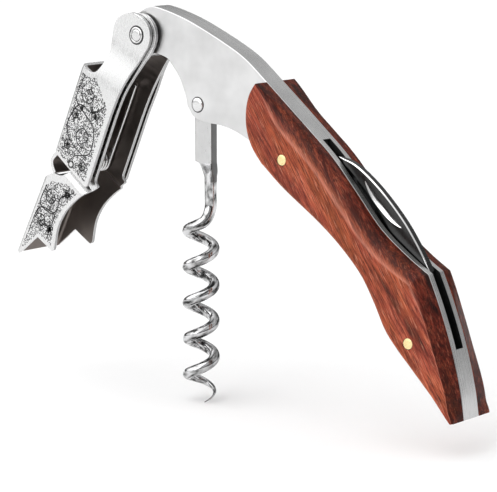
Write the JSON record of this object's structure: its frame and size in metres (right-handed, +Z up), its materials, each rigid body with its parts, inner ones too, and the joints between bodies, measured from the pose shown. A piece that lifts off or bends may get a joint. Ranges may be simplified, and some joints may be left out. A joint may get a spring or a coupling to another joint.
{
  "type": "waiters corkscrew",
  "caption": "Folding waiter's corkscrew: arched steel frame with wood scales, hinged two-stage boot lever, worm on a flat tang and a foil knife in the handle's back.",
  "frame": {"origin": "middle of the underside of the whole tool's bounding box, opened as it stands", "axes": "+X from the lever to the handle's tail, +Y through the tool's thickness to its far side, +Z up against the worm's direction"},
  "size_m": [0.13, 0.0142, 0.0913],
  "materials": {
    "frame_steel": "satin",
    "lever_steel": "bright, engraved panels",
    "pin_steel": "polished",
    "spring_steel": "drawn",
    "worm_steel": "polished",
    "blade_steel": "satin faces, bright ground back",
    "wood": "polished rosewood",
    "rivet_brass": "sanded flush",
    "washer_nylon": "matte",
    "washer_brass": "plain"
  },
  "bodies": {
    "handle": {"frame": "frame_steel", "scale_near": "wood", "scale_far": "wood", "scale_rivet_front": "rivet_brass", "scale_rivet_rear": "rivet_brass", "lever_pivot_pin": "pin_steel", "lever_washer_near": "washer_nylon", "lever_washer_far": "washer_nylon", "worm_pin": "pin_steel", "worm_washer_near": "washer_brass", "worm_washer_far": "washer_brass", "knife_pin": "pin_steel", "knife_washer_near": "washer_brass", "knife_washer_far": "washer_brass", "back_spring": "spring_steel", "back_spring_pin": "pin_steel"},
    "upper_lever": {"first_lever": "lever_steel", "lever_hinge_pin": "pin_steel", "lever_spring": "spring_steel"},
    "lower_lever": {"second_lever": "lever_steel"},
    "screw": {"worm": "worm_steel"},
    "foil_knife": {"knife_blade": "blade_steel"}
  },
  "joints": [
    {"name": "lever_pivot", "type": "hinge", "parent": "handle", "child": "upper_lever", "pos_m": [-0.02599, 0, 0.08472], "axis": [0, -1, 0], "range_deg": [-60, 40]},
    {"name": "second_lever_hinge", "type": "hinge", "parent": "upper_lever", "child": "lower_lever", "pos_m": [-0.04598, 0, 0.05312], "axis": [0, -1, 0], "range_deg": [-35, 0], "stiffness_Nm_per_rad": 0.02, "springref_deg": 20.05},
    {"name": "worm_fold", "type": "hinge", "parent": "handle", "child": "screw", "pos_m": [-0.00959, 0, 0.06962], "axis": [0, -1, 0], "range_deg": [0, 50]},
    {"name": "knife_fold", "type": "hinge", "parent": "handle", "child": "foil_knife", "pos_m": [0.05101, 0, 0.03472], "axis": [0, -1, 0], "range_deg": [-150, 0]}
  ]
}
